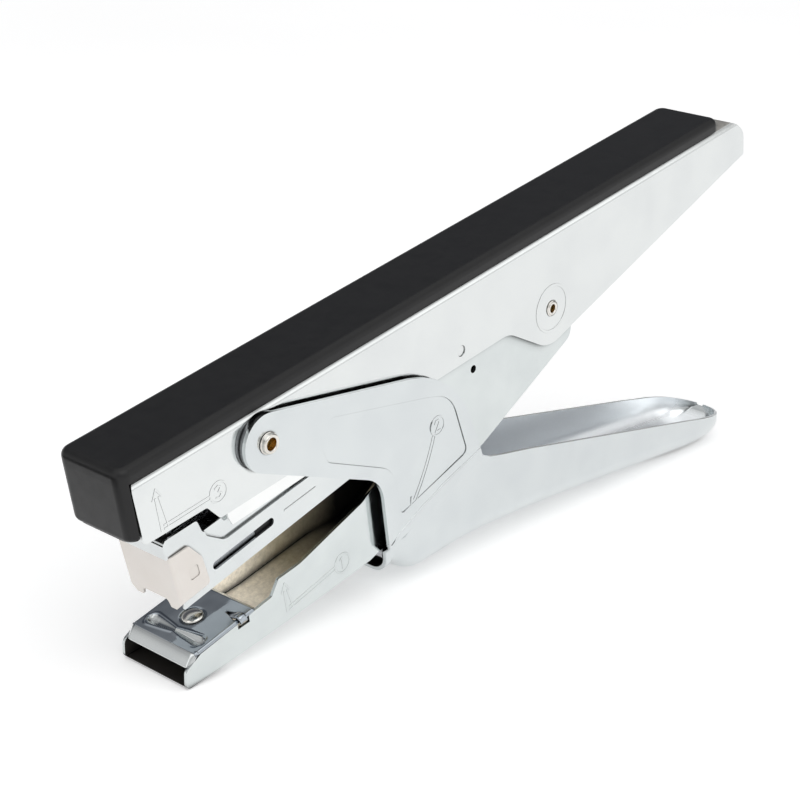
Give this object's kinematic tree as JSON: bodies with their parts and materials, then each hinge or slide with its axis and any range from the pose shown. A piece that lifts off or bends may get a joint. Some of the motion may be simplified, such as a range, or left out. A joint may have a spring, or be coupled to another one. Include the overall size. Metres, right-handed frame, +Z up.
{
  "type": "plier stapler",
  "caption": "Hand plier stapler: black top cover on a chromed body, squeeze handle with a hollow grip, anvil arm, sprung magazine with cream nose plate, pusher and staples",
  "frame": {"origin": "centre of the bounding box's base, on the table on which the tool stands, squeeze plane y = 0", "axes": "X from the stapling nose to the handle's tail, Y across the tool, Z up; the tool stands on its anvil arm's front edge and the grip's tail"},
  "size_m": [0.2123, 0.024, 0.0891],
  "materials": {
    "black_plastic": "satin",
    "chrome_body": "polished",
    "chrome_handle": "polished",
    "chrome_magazine": "polished",
    "rivet_nickel": "satin",
    "plain_steel": "brushed",
    "spring_steel": "satin",
    "anvil_steel": "polished",
    "cream_paint": "satin",
    "staple_wire": "satin",
    "pusher_black": "matte"
  },
  "bodies": {
    "upper_body": {"top_cover": "black_plastic", "upper_body": "chrome_body", "guide_rail": "chrome_body", "front_rivet": "rivet_nickel", "front_sleeve": "plain_steel", "pivot_washers": "rivet_nickel", "rear_rivet": "rivet_nickel", "rear_sleeve": "plain_steel", "driver_blade": "plain_steel", "driver_block": "plain_steel", "driver_rivets": "rivet_nickel", "magazine_spring": "spring_steel", "spring_rivet": "rivet_nickel", "arm_spring": "spring_steel"},
    "lower_handle": {"lower_handle": "chrome_handle", "lift_bar": "plain_steel"},
    "anvil_arm": {"anvil_arm": "chrome_body", "anvil_plate": "anvil_steel", "anvil_rivet": "rivet_nickel"},
    "magazine": {"magazine": "chrome_magazine", "nose_plate": "cream_paint", "staple_rail": "plain_steel", "staple_strip": "staple_wire", "pusher_rod": "spring_steel", "rod_bracket": "plain_steel", "pusher_spring": "spring_steel"},
    "pusher": {"pusher": "pusher_black"}
  },
  "joints": [
    {"name": "handle_squeeze", "type": "hinge", "parent": "upper_body", "child": "lower_handle", "pos_m": [-0.07023, 0, 0.04722], "axis": [0, -1, 0], "range_deg": [0, 18], "stiffness_Nm_per_rad": 1.5, "springref_deg": -28.65},
    {"name": "arm_lift", "type": "hinge", "parent": "upper_body", "child": "anvil_arm", "pos_m": [0.02214, 0, 0.05417], "axis": [0, 1, 0], "range_deg": [0, 7.75], "deforming": ["arm_spring"]},
    {"name": "magazine_lift", "type": "hinge", "parent": "upper_body", "child": "magazine", "pos_m": [0.02214, 0, 0.05417], "axis": [0, 1, 0], "range_deg": [0, 3.5], "deforming": ["magazine_spring"]},
    {"name": "pusher_slide", "type": "slide", "parent": "magazine", "child": "pusher", "axis": [0.9567, 0, 0.2912], "range_m": [0, 0.06], "stiffness_N_per_m": 60, "springref_m": -0.03, "deforming": ["pusher_spring"]}
  ],
  "couplings": [
    {"joint": "arm_lift", "follows": "handle_squeeze", "ratio": 0.43056},
    {"joint": "magazine_lift", "follows": "handle_squeeze", "ratio": 0.19444}
  ]
}
